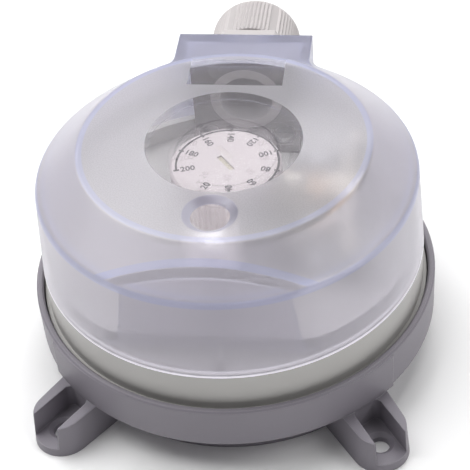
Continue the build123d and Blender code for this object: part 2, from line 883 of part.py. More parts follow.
def flare_section(height):
    """Level section of the rounded root where the neck's side leaves the round wall."""
    radius = wall_radius(height)
    across = neck_half_width + neck_flare
    along = math.sqrt((radius + neck_flare) ** 2 - across ** 2)
    share = radius / (radius + neck_flare)
    on_wall = (across * share, along * share)
    inside = share * (1 - neck_overlap / radius)
    inner_x = neck_half_width - neck_overlap
    outline = [
        Line((neck_half_width, along), (inner_x, along)),
        Line((inner_x, along), (inner_x, along * inside)),
        Line((inner_x, along * inside), (across * inside, along * inside)),
        Line((across * inside, along * inside), on_wall),
        RadiusArc(on_wall, (neck_half_width, along), neck_flare)]
    return Pos(0, 0, height) * make_face(outline)


def neck_flares():
    low = loft([flare_section(ledge_height), flare_section(shoulder_height)], ruled=True)
    high = loft([flare_section(shoulder_height), flare_section(neck_top)], ruled=True)
    flare = low + high
    return flare + mirrored(flare)


def cover_envelope(inset):
    """Outside of the cover without its neck, or the same drawn in evenly by an inset."""
    top_in = inset * math.tan(cone_angle / 2)
    shoulder_down = inset * math.tan((math.pi / 2 - cone_angle) / 2)
    return turned([
        (0, ledge_height - inset), (cover_radius - inset, ledge_height - inset),
        (shoulder_radius - inset, shoulder_height - shoulder_down),
        (top_radius - top_in, top_height - inset), (0, top_height - inset)])


def rounded_cover():
    shell = cover_envelope(0)
    circles = shell.edges().filter_by(GeomType.CIRCLE).sort_by(Axis.Z)
    shell = fillet(circles[-1], top_edge)
    circles = shell.edges().filter_by(GeomType.CIRCLE).sort_by(Axis.Z)
    shoulder = [e for e in circles if abs(e.center().Z - shoulder_height) < shoulder_edge / 2]
    return fillet(shoulder, shoulder_edge)


def neck_block(low, inset):
    """The neck as a box that runs back from the top disc's edge."""
    half = neck_half_width - inset
    return block(-half, half, shoulder_radius / 2, neck_end - inset, low, neck_top - inset)


def make_cover():
    """One clear moulding: round shell, neck, screw well, inner front panel and two windows."""
    shell = rounded_cover()
    neck = neck_block(ledge_height, 0)
    neck = chamfer(neck.edges().group_by(Axis.Z)[-1].sort_by(Axis.Y)[-1], neck_edge)
    shell = shell + neck + neck_flares()
    hollow = cover_envelope(cover_wall)
    tunnel = neck_block(ledge_height - over, neck_wall)
    cover = shell - hollow - tunnel
    panel = block(-cover_radius, cover_radius, -flat_y - panel_thickness - slide_gap, -flat_y - slide_gap,
                  panel_bottom, top_height)
    cover += panel & cover_envelope(cover_wall / 2)
    well = disc(well_radius + well_wall, well_bottom, top_height - cover_wall / 2, 0, well_y)
    cover += well
    cover -= disc(well_radius, well_floor, top_height + over, 0, well_y)
    cover -= disc(cover_screw_radius + slide_gap, 0, top_height, 0, well_y)
    cover -= Pos(0, well_y, top_height - well_sink / 2) * Cone(
        well_radius, well_radius + well_wall, well_sink)
    inside_top = top_height - cover_wall
    cover -= disc(window_radius, inside_top - over, inside_top + window_recess) - disc(
        well_radius + well_wall, 0, top_height, 0, well_y)
    port = Pos(0, (port_front + port_back) / 2) * Rectangle(
        port_half_width * 2, port_back - port_front)
    port = fillet(port.vertices().group_by(Axis.Y)[-1], port_corner)
    cover -= Pos(0, 0, inside_top - over) * extrude(port, amount=1 + window_recess)
    notch = gland_thread + part_gap
    cover -= rod(notch, neck_inner_end - over, neck_end + over, 0, gland_height)
    return cover - block(-notch, notch, neck_inner_end - over, neck_end + over, 0, gland_height)


def make_cover_screw():
    seat = cover_screw_seat
    head = disc(cover_screw_head_radius, seat, seat + cover_screw_head, 0, well_y)
    head = chamfer(head.edges().group_by(Axis.Z)[-1], screw_edge)
    shank = disc(cover_screw_radius, cover_screw_end, seat, 0, well_y)
    slot = block(-cover_screw_head_radius, cover_screw_head_radius, well_y - screw_slot / 2,
                 well_y + screw_slot / 2, seat + cover_screw_head / 2, seat + cover_screw_head + over)
    return head + shank - slot


def make_screw_washer():
    return ring(cover_screw_head_radius, cover_screw_radius, well_floor, cover_screw_seat, 0, well_y)


# Cable gland

def make_gland_holder():
    """Upright block that takes the gland's thread, on a screwed foot."""
    holder = block(-holder_half_width, holder_half_width, holder_front, holder_back,
                   deck_top, holder_top)
    upper = holder.edges().filter_by(Axis.Y).group_by(Axis.Z)[-1]
    holder = fillet(upper, holder_corner)
    holder += block(-holder_half_width, holder_half_width, holder_front - holder_foot_length,
                    holder_front, deck_top, deck_top + holder_foot)
    holder -= rod(gland_thread, holder_front - over, holder_back + over, 0, gland_height)
    for x, y in holder_screw_places():
        holder -= disc(small_screw_radius + slide_gap, 0, deck_top + holder_foot + over, x, y)
    return holder


def make_gland_body():
    """Threaded stem, hexagon and outer barrel with the seal's seat."""
    body = rod(gland_thread, holder_front, hex_start, 0, gland_height)
    outline = RegularPolygon(hex_across / 2, 6, major_radius=False)
    hexagon = Pos(0, hex_start, gland_height) * Rot(-90, 0, 0) * extrude(outline, amount=hex_length)
    body += hexagon
    body += rod(barrel_radius, hex_start, barrel_end, 0, gland_height)
    body -= rod(gland_bore, holder_front - over, barrel_end + over, 0, gland_height)
    seat = barrel_end - seal_length / 2
    return body - rod(seal_radius + cage_wall + slide_gap, seat, barrel_end + over, 0, gland_height)


def seal_start():
    return barrel_end - seal_length / 2 + part_gap


def make_gland_seal():
    start = seal_start()
    return gland_turned([
        (seal_bore, start), (seal_radius, start), (seal_radius, start + seal_straight),
        (seal_radius - seal_taper, start + seal_length), (seal_bore, start + seal_length)])


def make_gland_cage():
    """Ring of clamping fingers round the seal."""
    start = seal_start()
    outer = seal_radius + cage_wall
    end = start + cage_length
    taper = (cage_length - seal_straight) / (seal_length - seal_straight) * seal_taper
    cage = gland_turned([
        (seal_radius, start), (outer, start), (outer, start + cage_straight),
        (outer - seal_taper, end), (seal_radius - taper, end), (seal_radius, start + seal_straight)])
    for step in range(cage_fingers):
        slit = block(-cage_slit / 2, cage_slit / 2, start + cage_slit_start, end + over,
                     seal_bore, cap_radius)
        cage -= Pos(0, 0, gland_height) * Rot(0, 360 * (step + 0.5) / cage_fingers, 0) * slit
    return cage


def cap_outline():
    """Ribbed section of the cap: groups of ribs with plain gaps between them."""
    points = []
    share = 360 / cap_rib_groups
    ribbed = share * (1 - cap_gap_share)
    for group in range(cap_rib_groups):
        start = group * share + (share - ribbed) / 2
        for rib in range(cap_ribs):
            points.append(at_angle(cap_radius - cap_rib_depth, start + ribbed * rib / cap_ribs))
            points.append(at_angle(cap_radius, start + ribbed * (rib + 0.5) / cap_ribs))
        points.append(at_angle(cap_radius - cap_rib_depth, start + ribbed))
    return make_face(Polyline(*points, close=True))


def make_gland_cap():
    """Domed cap nut that squeezes the fingers round the cable."""
    ribbed = Rot(-90, 0, 0) * extrude(cap_outline(), amount=cap_end - cap_start)
    ribbed = Pos(0, cap_start, gland_height) * ribbed
    dome = rod(cap_radius, cap_start, cap_end, 0, gland_height)
    dome = fillet(dome.edges().sort_by(Axis.Y)[-1], cap_dome)
    dome = chamfer(dome.edges().sort_by(Axis.Y)[0], cap_edge)
    inner_end = barrel_end + part_gap
    cone_start = seal_start() + cage_length - cap_cone_start
    finger_room = seal_radius + cage_wall + part_gap
    bore = gland_turned([
        (0, cap_start - over), (barrel_radius + running_gap, cap_start - over),
        (barrel_radius + running_gap, inner_end), (finger_room, inner_end),
        (finger_room, cone_start), (cap_mouth + cap_cone_out, cone_start + cap_cone_length),
        (cap_mouth, cap_end + over), (0, cap_end + over)])
    return (ribbed & dome) - bore


def build_nodes():
    screws = [body_screw(*at_angle(boss_circle, angle)) for angle in body_screw_angles]
    carrier_seat = deck_top + carrier_floor
    holder_seat = deck_top + holder_foot
    return {
        "base": make_base(),
        "body_screws": screws,
        "diaphragm": make_diaphragm(),
        "diaphragm_plate": make_diaphragm_plate(),
        "plunger": make_plunger(),
        "spring_cup": make_spring_cup(),
        "plunger_bush": make_plunger_bush(),
        "body": make_body(),
        "cover_seal": seal_ring(),
        "spring_tower": make_spring_tower(),
        "tower_screws": [small_screw(x, y, tower_seat) for x, y in tower_screw_places()],
        "spring_nut": make_spring_nut(),
        "range_spring": make_range_spring(),
        "spindle": make_spindle(),
        "spindle_clip": make_spindle_clip(),
        "knob": make_knob(),
        "contact_carrier": make_contact_carrier(),
        "carrier_screws": [small_screw(x, y, carrier_seat) for x, y in carrier_screw_places()],
        "lever_pin": make_lever_pin(),
        "contact_lever": make_lever(),
        "lever_contact": make_lever_contact(),
        "lower_terminal": make_lower_terminal(),
        "lower_contact": make_lower_contact(),
        "upper_terminal": make_upper_terminal(),
        "upper_contact": make_upper_contact(),
        "common_terminal": make_common_terminal(),
        "cover": make_cover(),
        "cover_screw": make_cover_screw(),
        "screw_washer": make_screw_washer(),
        "gland_holder": make_gland_holder(),
        "holder_screws": [small_screw(x, y, holder_seat) for x, y in holder_screw_places()],
        "gland_body": make_gland_body(),
        "gland_seal": make_gland_seal(),
        "gland_cage": make_gland_cage(),
        "gland_cap": make_gland_cap(),
    }


def solids_of(item):
    if isinstance(item, list):
        return [solid for piece in item for solid in piece.solids()]
    return list(item.solids())


os.makedirs("parts", exist_ok=True)
for node, item in build_nodes().items():
    solids = solids_of(item)
    shape = solids[0] if len(solids) == 1 else Compound(children=solids)
    export_step(shape, f"parts/{node}.step")
    print(f"{node}: {len(solids)} solid, {sum(s.volume for s in solids):.1f} mm3")
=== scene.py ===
import json
import math

import bmesh
import bpy
from mathutils import Matrix, Vector


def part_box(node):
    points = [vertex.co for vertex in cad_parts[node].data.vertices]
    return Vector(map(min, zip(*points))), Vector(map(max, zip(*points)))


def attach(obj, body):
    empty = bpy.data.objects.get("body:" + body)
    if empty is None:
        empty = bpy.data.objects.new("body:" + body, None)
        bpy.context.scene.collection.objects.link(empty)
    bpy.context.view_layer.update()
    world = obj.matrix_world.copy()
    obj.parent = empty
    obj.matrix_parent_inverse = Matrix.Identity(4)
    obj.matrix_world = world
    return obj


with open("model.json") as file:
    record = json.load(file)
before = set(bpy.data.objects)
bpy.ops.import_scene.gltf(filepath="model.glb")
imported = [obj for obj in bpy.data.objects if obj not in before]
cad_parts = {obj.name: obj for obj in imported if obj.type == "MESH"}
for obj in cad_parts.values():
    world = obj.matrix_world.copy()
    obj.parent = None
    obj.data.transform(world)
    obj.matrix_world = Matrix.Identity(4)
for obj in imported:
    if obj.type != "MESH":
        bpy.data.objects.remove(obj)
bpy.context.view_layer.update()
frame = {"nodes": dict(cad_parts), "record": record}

mm = 0.001
nodes = frame["nodes"]
print("frame loaded:", len(nodes), "pieces")


# Node trees

def addNode(tree, kind, **settings):
    node = tree.nodes.new(kind)
    for name, value in settings.items():
        setattr(node, name, value)
    return node


def feed(tree, node, socket, value):
    # a value is either a socket to link or a number or colour to set
    if isinstance(value, bpy.types.NodeSocket):
        tree.links.new(value, node.inputs[socket])
    else:
        node.inputs[socket].default_value = value


def mathNode(tree, operation, *values, clamp=False):
    node = addNode(tree, "ShaderNodeMath", operation=operation, use_clamp=clamp)
    for index, value in enumerate(values):
        feed(tree, node, index, value)
    return node.outputs[0]


def step(tree, value, low, high, start=0.0, end=1.0):
    # smooth change from start to end as the value goes from low to high
    node = addNode(tree, "ShaderNodeMapRange", interpolation_type="SMOOTHSTEP")
    for socket, entry in (("Value", value), ("From Min", low), ("From Max", high),
                          ("To Min", start), ("To Max", end)):
        feed(tree, node, socket, entry)
    return node.outputs["Result"]


def scaleColor(tree, color, factor):
    node = addNode(tree, "ShaderNodeVectorMath", operation="SCALE")
    feed(tree, node, 0, color)
    feed(tree, node, "Scale", factor)
    return node.outputs["Vector"]


def mixColor(tree, factor, first, second):
    node = addNode(tree, "ShaderNodeMix", data_type="RGBA")
    for index, value in ((0, factor), (6, first), (7, second)):
        feed(tree, node, index, value)
    return node.outputs[2]


def noise(tree, where, scale, detail):
    node = addNode(tree, "ShaderNodeTexNoise")
    for socket, value in (("Vector", where), ("Scale", scale), ("Detail", detail)):
        feed(tree, node, socket, value)
    return node.outputs["Fac"]


def objectPlace(tree):
    return addNode(tree, "ShaderNodeTexCoord").outputs["Object"]


def centred(tree, value, span):
    # swings half the span up and down instead of from 0 to 1
    return mathNode(tree, "MULTIPLY", mathNode(tree, "SUBTRACT", value, 0.5), span)


# Masks

def opposite(tree, mask):
    return mathNode(tree, "SUBTRACT", 1.0, mask)


def both(tree, first, *others):
    # on only where all of them are
    for mask in others:
        first = mathNode(tree, "MULTIPLY", first, mask)
    return first


def either(tree, first, *others):
    # on where at least one of them is
    for mask in others:
        first = mathNode(tree, "MAXIMUM", first, mask)
    return first


# Shared effects, each a group built once

def newGroup(name, inputs, outputs):
    group = bpy.data.node_groups.new(name, "ShaderNodeTree")
    for label, default in inputs:
        socket = group.interface.new_socket(name=label, in_out="INPUT", socket_type="NodeSocketFloat")
        socket.default_value = default
    for label, kind in outputs:
        group.interface.new_socket(name=label, in_out="OUTPUT", socket_type=kind)
    return group, group.nodes.new("NodeGroupInput"), group.nodes.new("NodeGroupOutput")


def buildMouldGrain():
    # fine pitted skin of a moulded part, with a slow drift of tone and gloss
    group, start, end = newGroup(
        "mould grain", [("Grain", 3000.0), ("Drift", 60.0), ("Tone", 0.05), ("Gloss", 0.06)],
        [("Height", "NodeSocketFloat"), ("Shade", "NodeSocketFloat"), ("Rough", "NodeSocketFloat")])
    where = objectPlace(group)
    fine = noise(group, where, start.outputs["Grain"], 2.0)
    slow = noise(group, where, start.outputs["Drift"], 4.0)
    feed(group, end, "Height", fine)
    feed(group, end, "Shade", mathNode(group, "ADD", centred(group, slow, start.outputs["Tone"]), 1.0))
    feed(group, end, "Rough", mathNode(group, "ADD", centred(group, fine, start.outputs["Gloss"]),
                                       centred(group, slow, start.outputs["Gloss"])))
    return group


def buildEdgeLine():
    # where two faces meet: a rounded normal and a mask along the edge, where moulded plastics get a paler
    # edge (painted highlight, partly edge wear) and the cover a darker edge (painted shade)
    group, start, end = newGroup(
        "edge line", [("Radius", 0.0003), ("Strength", 3.0)],
        [("Edge", "NodeSocketFloat"), ("Normal", "NodeSocketVector")])
    bevel = addNode(group, "ShaderNodeBevel", samples=4)
    feed(group, bevel, "Radius", start.outputs["Radius"])
    dot = addNode(group, "ShaderNodeVectorMath", operation="DOT_PRODUCT")
    feed(group, dot, 0, bevel.outputs["Normal"])
    feed(group, dot, 1, addNode(group, "ShaderNodeNewGeometry").outputs["Normal"])
    away = opposite(group, dot.outputs["Value"])
    feed(group, end, "Edge", mathNode(group, "MULTIPLY", away, start.outputs["Strength"], clamp=True))
    feed(group, end, "Normal", bevel.outputs["Normal"])
    return group


def buildBrushed():
    # long fine scratches along X
    group, start, end = newGroup(
        "brushed streaks", [("Fineness", 2500.0), ("Gloss", 0.15)],
        [("Height", "NodeSocketFloat"), ("Rough", "NodeSocketFloat")])
    where = addNode(group, "ShaderNodeMapping")
    feed(group, where, "Vector", objectPlace(group))
    feed(group, where, "Scale", (0.04, 1.0, 1.0))
    streaks = noise(group, where.outputs["Vector"], start.outputs["Fineness"], 2.0)
    feed(group, end, "Height", streaks)
    feed(group, end, "Rough", centred(group, streaks, start.outputs["Gloss"]))
    return group


mouldGrain = buildMouldGrain()
edgeLine = buildEdgeLine()
brushedStreaks = buildBrushed()
print("shared effects built")


# Materials

def newMaterial(name):
    material = bpy.data.materials.new(name)
    material.use_nodes = True
    shader = material.node_tree.nodes["Principled BSDF"]
    return material, material.node_tree, shader


def placeGroup(tree, group, **values):
    node = addNode(tree, "ShaderNodeGroup", node_tree=group)
    for name, value in values.items():
        feed(tree, node, name, value)
    return node


def bump(tree, height, strength, distance, normal=None):
    node = addNode(tree, "ShaderNodeBump")
    feed(tree, node, "Strength", strength)
    feed(tree, node, "Distance", distance)
    feed(tree, node, "Height", height)
    if normal is not None:
        feed(tree, node, "Normal", normal)
    return node.outputs["Normal"]


plasticSkin = {
    "grain": 3000.0,
    "tone": 0.08,
    "bump": 0.25,
    "depth": 0.02 * mm,
    "edge": 0.25 * mm,
    "edgeGain": 1.35,       # an edge is this much paler than the face beside it: painted highlight along the edge, with some edge wear
    "edgeLift": 0.03,
}


def mouldedPlastic(name, color, rough, edgeColor=None, depth=plasticSkin["depth"], edge=plasticSkin["edge"]):
    material, tree, shader = newMaterial(name)
    skin = placeGroup(tree, mouldGrain, Grain=plasticSkin["grain"], Tone=plasticSkin["tone"])
    line = placeGroup(tree, edgeLine, Radius=edge)
    # the paler edge colour is a painted highlight along the edges, partly edge wear
    pale = edgeColor or [min(1.0, c * plasticSkin["edgeGain"] + plasticSkin["edgeLift"]) for c in color]
    shade = scaleColor(tree, color, skin.outputs["Shade"])
    feed(tree, shader, "Base Color", mixColor(tree, line.outputs["Edge"], shade, (*pale, 1.0)))
    feed(tree, shader, "Roughness", mathNode(tree, "ADD", skin.outputs["Rough"], rough))
    feed(tree, shader, "Normal", bump(tree, skin.outputs["Height"], plasticSkin["bump"], depth,
                                      line.outputs["Normal"]))
    return material


metalSkin = {
    "fineness": 2500.0,
    "gloss": 0.12,
    "edge": 0.15 * mm,
    "bump": 0.2,
    "depth": 0.01 * mm,
    "tarnishScale": 220.0,
    "tarnishRange": (0.35, 0.7),
    "tarnishShade": 0.78,
}


def brushedMetal(name, color, rough):
    material, tree, shader = newMaterial(name)
    streaks = placeGroup(tree, brushedStreaks, Fineness=metalSkin["fineness"], Gloss=metalSkin["gloss"])
    line = placeGroup(tree, edgeLine, Radius=metalSkin["edge"])
    tarnish = noise(tree, objectPlace(tree), metalSkin["tarnishScale"], 4.0)
    dull = [c * metalSkin["tarnishShade"] for c in color]
    bright = step(tree, tarnish, *metalSkin["tarnishRange"])
    feed(tree, shader, "Base Color", mixColor(tree, bright, (*dull, 1.0), (*color, 1.0)))
    feed(tree, shader, "Metallic", 1.0)
    feed(tree, shader, "Roughness", mathNode(tree, "ADD", streaks.outputs["Rough"], rough))
    feed(tree, shader, "Normal", bump(tree, streaks.outputs["Height"], metalSkin["bump"], metalSkin["depth"],
                                      line.outputs["Normal"]))
    return material


softSeal = {
    "color": (0.02, 0.02, 0.022),
    "rough": 0.7,
    "grain": 1600.0,
    "tone": 0.3,
    "gloss": 0.15,
    "bump": 0.3,
    "depth": 0.03 * mm,
}


def softRubber(part):
    material, tree, shader = newMaterial("soft rubber")
    skin = placeGroup(tree, mouldGrain, Grain=part["grain"], Tone=part["tone"], Gloss=part["gloss"])
    feed(tree, shader, "Base Color", scaleColor(tree, part["color"], skin.outputs["Shade"]))
    feed(tree, shader, "Roughness", mathNode(tree, "ADD", skin.outputs["Rough"], part["rough"]))
    feed(tree, shader, "Normal", bump(tree, skin.outputs["Height"], part["bump"], part["depth"]))
    return material


# Clear cover: depths are below its top, heights above its foot, fronts and backs along Y

clearCover = {
    "tint": (0.735, 0.715, 0.775, 1.0),
    "transmission": 0.75,
    "ior": 1.46,
    "sideRough": 0.31,
    "rippleScale": 45.0,
    "ripple": 0.08,
    "shadowLeft": 0.3,      # share of its shadow that a cover this clear still throws
    # neck over the gland, painted darker and bluer than the rest of the cover: painted shade
    "neckPaintedShade": (0.56, 0.56, 0.68, 1.0),
    "neckHalfWidth": 17.5 * mm,
    "neckFront": 27.5 * mm,
    "neckBlur": 1.0 * mm,
    # frosted outside of the top
    "topRadius": 29.2 * mm,
    "topDepth": 2.8 * mm,
    "frostDepth": 0.7 * mm,
    "frostTint": (0.73, 0.715, 0.765),
    "frostRough": 0.18,
    "sparkleScale": 4200.0,
    "sparkleRange": (0.35, 0.65),
    "sparkleShade": (0.82, 1.0),
    "frostBump": 0.5,
    "frostBumpDepth": 0.05 * mm,
    # round window over the dial and the square one behind it
    "windowRadius": 15.8 * mm,
    "windowRough": 0.02,
    "windowAlpha": 0.25,
    "portHalfWidth": 10.0 * mm,
    "portFront": 18.3 * mm,
    "portBack": 27.2 * mm,
    # screw well, with a darker bluish painted shade on its ring and painted light given off inside it
    "wellRadius": 5.35 * mm,
    "wellClear": 5.6 * mm,
    "wellRimDepth": 1.1 * mm,
    "wellPaintedLight": (0.42, 0.385, 0.39, 1.0),
    "wellRingPaintedShade": (0.50, 0.50, 0.62, 1.0),
    # painted lines along the shoulder, the rim of the top, the arch of the front panel and the lower lip:
    # darker bluish painted shade with a faint painted highlight on the edges, and a painted highlight along
    # the lip
    "edgePaintedShade": (0.60, 0.61, 0.75, 1.0),
    "edgePaintedHighlight": (0.035, 0.04, 0.07, 1.0),
    "edgeRadius": 0.6 * mm,
    "edgeStrength": 3.0,
    "edgeBlur": 0.12 * mm,
    "lineHalfWidth": 0.45 * mm,
    "lineBlur": 0.35 * mm,
    "shoulderDepth": 7.7 * mm,
    "shoulderInside": 36.0 * mm,
    "rimLine": 29.0 * mm,
    "rimDepth": 1.8 * mm,
    "archPlace": -32.55 * mm,
    "archHalfWidth": 0.55 * mm,
    "archBlur": 0.15 * mm,
    "archDepth": 7.6 * mm,
    "lipHeight": 0.55 * mm,
    "lipPaintedHighlight": (0.36, 0.35, 0.38, 1.0),
}


def coverMasks(tree, part):
    # where each finish of the cover lies
    foot, top = (corner.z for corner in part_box("cover"))
    wellPlace = sum(corner.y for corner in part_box("cover_screw")) / 2
    portMiddle = (part["portFront"] + part["portBack"]) / 2
    where = addNode(tree, "ShaderNodeSeparateXYZ")
    feed(tree, where, 0, objectPlace(tree))
    x, y, z = (where.outputs[axis] for axis in "XYZ")
    acrossX = mathNode(tree, "ABSOLUTE", x)

    def beyond(value, edge):
        return step(tree, value, edge - part["edgeBlur"], edge + part["edgeBlur"])

    def within(value, edge):
        return opposite(tree, beyond(value, edge))

    def distance(value, middle):
        return mathNode(tree, "ABSOLUTE", mathNode(tree, "SUBTRACT", value, middle))

    def fromAxis(place):
        # distance from an upright axis at this place along Y
        shifted = mathNode(tree, "SUBTRACT", y, place)
        squares = [mathNode(tree, "MULTIPLY", side, side) for side in (x, shifted)]
        return mathNode(tree, "SQRT", mathNode(tree, "ADD", *squares))

    def band(value, middle, halfWidth, fade):
        return step(tree, distance(value, middle), halfWidth, halfWidth + fade, 1.0, 0.0)

    radius = fromAxis(0.0)
    fromWell = fromAxis(wellPlace)
    pastPort = either(tree, mathNode(tree, "SUBTRACT", acrossX, part["portHalfWidth"]),
                      mathNode(tree, "SUBTRACT", distance(y, portMiddle), part["portBack"] - portMiddle))
    inTop = both(tree, within(radius, part["topRadius"]), beyond(z, top - part["topDepth"]),
                 beyond(fromWell, part["wellRadius"]))
    frosted = both(tree, inTop, beyond(radius, part["windowRadius"]), beyond(pastPort, 0.0),
                   beyond(z, top - part["frostDepth"]))
    inWell = both(tree, within(fromWell, part["wellClear"]), within(z, top - part["wellRimDepth"]))
    wellRing = both(tree, within(fromWell, part["wellRadius"]), beyond(z, top - part["wellRimDepth"]))
    pastNeck = either(tree, mathNode(tree, "SUBTRACT", acrossX, part["neckHalfWidth"]),
                      mathNode(tree, "SUBTRACT", part["neckFront"], y))
    shoulder = both(tree, band(z, top - part["shoulderDepth"], part["lineHalfWidth"], part["lineBlur"]),
                    beyond(radius, part["shoulderInside"]))
    rim = both(tree, band(radius, part["rimLine"], part["lineHalfWidth"], part["lineBlur"]),
               beyond(z, top - part["rimDepth"]))
    arch = both(tree, band(y, part["archPlace"], part["archHalfWidth"], part["archBlur"]),
                beyond(z, top - part["archDepth"]))
    return {
        "frosted": frosted,
        "clear": either(tree, mathNode(tree, "SUBTRACT", inTop, frosted), inWell),
        "well": inWell,
        "wellRing": wellRing,
        "neck": step(tree, pastNeck, -part["neckBlur"], part["neckBlur"], 1.0, 0.0),
        "lip": within(z, foot + part["lipHeight"]),
        "edges": either(tree, shoulder, rim, arch),
    }


def makeCoverPlastic(part):
    material, tree, shader = newMaterial("clear cover plastic")
    masks = coverMasks(tree, part)
    line = placeGroup(tree, edgeLine, Radius=part["edgeRadius"], Strength=part["edgeStrength"])
    edges = either(tree, line.outputs["Edge"], masks["edges"])
    where = objectPlace(tree)
    sparkle = noise(tree, where, part["sparkleScale"], 2.0)

    shade = step(tree, sparkle, *part["sparkleRange"], *part["sparkleShade"])
    grain = scaleColor(tree, part["frostTint"], shade)
    # painted shade: the neck is darker and bluer than the rest of the cover
    skin = mixColor(tree, masks["neck"], part["tint"], part["neckPaintedShade"])
    # painted shade: the ring around the screw well is darker and bluer
    skin = mixColor(tree, masks["wellRing"], skin, part["wellRingPaintedShade"])
    skin = mixColor(tree, masks["frosted"], skin, grain)
    # painted shade: the edges are darker and bluer than the faces beside them
    feed(tree, shader, "Base Color", mixColor(tree, edges, skin, part["edgePaintedShade"]))

    # painted light given off as emission: a faint highlight along the edges, light inside the screw well and
    # a highlight along the lower lip
    paintedLight = mixColor(tree, edges, (0.0, 0.0, 0.0, 1.0), part["edgePaintedHighlight"])
    paintedLight = mixColor(tree, masks["well"], paintedLight, part["wellPaintedLight"])
    feed(tree, shader, "Emission Color", mixColor(tree, masks["lip"], paintedLight, part["lipPaintedHighlight"]))
    feed(tree, shader, "Emission Strength", 1.0)

    ripple = centred(tree, noise(tree, where, part["rippleScale"], 3.0), part["ripple"])
    side = mathNode(tree, "ADD", ripple, part["sideRough"])
    smoother = both(tree, mathNode(tree, "SUBTRACT", side, part["windowRough"]), masks["clear"])
    rough = mathNode(tree, "ADD", mathNode(tree, "SUBTRACT", side, smoother),
                     mathNode(tree, "MULTIPLY", masks["frosted"], part["frostRough"]))
    feed(tree, shader, "Roughness", rough)
    feed(tree, shader, "IOR", part["ior"])
    feed(tree, shader, "Transmission Weight", part["transmission"])
    feed(tree, shader, "Normal", bump(tree, both(tree, sparkle, masks["frosted"]), part["frostBump"],
                                      part["frostBumpDepth"], line.outputs["Normal"]))

    shadow = addNode(tree, "ShaderNodeLightPath").outputs["Is Shadow Ray"]
    dimmed = opposite(tree, mathNode(tree, "MULTIPLY", shadow, 1.0 - part["shadowLeft"]))
    solid = opposite(tree, mathNode(tree, "MULTIPLY", masks["clear"], 1.0 - part["windowAlpha"]))
    feed(tree, shader, "Alpha", both(tree, dimmed, solid))
    return material


# Every piece takes the look of its slot in the record

plasticLooks = {
    # the base's paler edge colour is a painted highlight along its edges, partly edge wear
    "grey_base": {"name": "base grey", "color": (0.23, 0.213, 0.245), "rough": 0.46,
                  "edgeColor": (0.42, 0.40, 0.45), "edge": 0.4 * mm},
    "off_white_body": {"name": "body off-white", "color": (0.50, 0.49, 0.475), "rough": 0.42},
    "dial_white": {"name": "dial white", "color": (0.57, 0.52, 0.53), "rough": 0.35, "depth": 0.01 * mm},
    "beige_spindle": {"name": "spindle beige", "color": (0.48, 0.45, 0.35), "rough": 0.4},
    "white_plastic": {"name": "tower white", "color": (0.62, 0.61, 0.60), "rough": 0.45},
    "light_grey_gland": {"name": "gland light grey", "color": (0.53, 0.50, 0.50), "rough": 0.4,
                         "edge": 0.2 * mm},
    "dark_grey_holder": {"name": "holder grey", "color": (0.20, 0.185, 0.185), "rough": 0.45},
    "black_insulator": {"name": "insulator black", "color": (0.035, 0.035, 0.04), "rough": 0.4},
    "plate_plastic": {"name": "plate plastic", "color": (0.70, 0.69, 0.66), "rough": 0.5},
    "plunger_acetal": {"name": "plunger acetal", "color": (0.78, 0.77, 0.72), "rough": 0.3},
    "washer_nylon": {"name": "washer nylon", "color": (0.74, 0.73, 0.70), "rough": 0.45},
    "cage_nylon": {"name": "cage nylon", "color": (0.55, 0.53, 0.53), "rough": 0.45},
}

metalLooks = {
    "brass": {"name": "turned brass", "color": (0.80, 0.62, 0.30), "rough": 0.28},
    "brass_blade": {"name": "tinned brass", "color": (0.78, 0.72, 0.60), "rough": 0.3},
    "steel": {"name": "plated steel", "color": (0.62, 0.62, 0.62), "rough": 0.3},
    "spring_steel": {"name": "spring steel", "color": (0.45, 0.44, 0.43), "rough": 0.32},
    "lever_bronze": {"name": "lever bronze", "color": (0.72, 0.50, 0.32), "rough": 0.28},
    "contact_silver": {"name": "contact silver", "color": (0.86, 0.85, 0.82), "rough": 0.2},
}


def dressNodes():
    bySlot = {slot: mouldedPlastic(**look) for slot, look in plasticLooks.items()}
    bySlot["rubber"] = softRubber(softSeal)
    bySlot.update((slot, brushedMetal(**look)) for slot, look in metalLooks.items())
    bySlot["clear_cover"] = makeCoverPlastic(clearCover)
    for entry in frame["record"]["subparts"]:
        mesh = nodes[entry["node"]].data
        mesh.materials.clear()
        mesh.materials.append(bySlot[entry["material_slot"]])


dressNodes()
print("materials given to the CAD pieces")


# Dial print, which turns with the knob

dialPrint = {
    "lift": 0.02 * mm,
    "thickness": 0.03 * mm,
    "middle": (0.35 * mm, 0.1 * mm, 0.0),
    "ringRadius": 10.4 * mm,
    "ringWidth": 0.44 * mm,
    "ringSegments": 96,
    "tickLength": 1.15 * mm,
    "tickWidth": 0.42 * mm,
    "tickRadius": 10.4 * mm,
    "tickThickness": 0.036 * mm,
    "figureRadius": 8.1 * mm,
    "figureHeight": 1.4 * mm,
    "figureShare": 0.7,     # the font's own figures are this part of its size
    "figureWeight": 0.042 * mm,
    "figureCurves": 3,
    "values": range(20, 201, 20),
    "firstAngle": -115.5,
    "stepAngle": 34.6,
    "weld": 0.001 * mm,
    "ink": {"name": "printed ink", "color": (0.018, 0.016, 0.02), "rough": 0.45,
            "depth": 0.004 * mm, "edge": 0.05 * mm},
}


def onDial(part, index, radius, height):
    # out from the middle of the print, towards the figure with this index
    angle = math.radians(part["firstAngle"] + part["stepAngle"] * index)
    return (Matrix.Translation(part["middle"]) @ Matrix.Translation((0, 0, height))
            @ Matrix.Rotation(angle, 4, "Z") @ Matrix.Translation((radius, 0, 0)))


def meshFrom(bm, name):
    mesh = bpy.data.meshes.new(name)
    bm.to_mesh(mesh)
    bm.free()
    return mesh


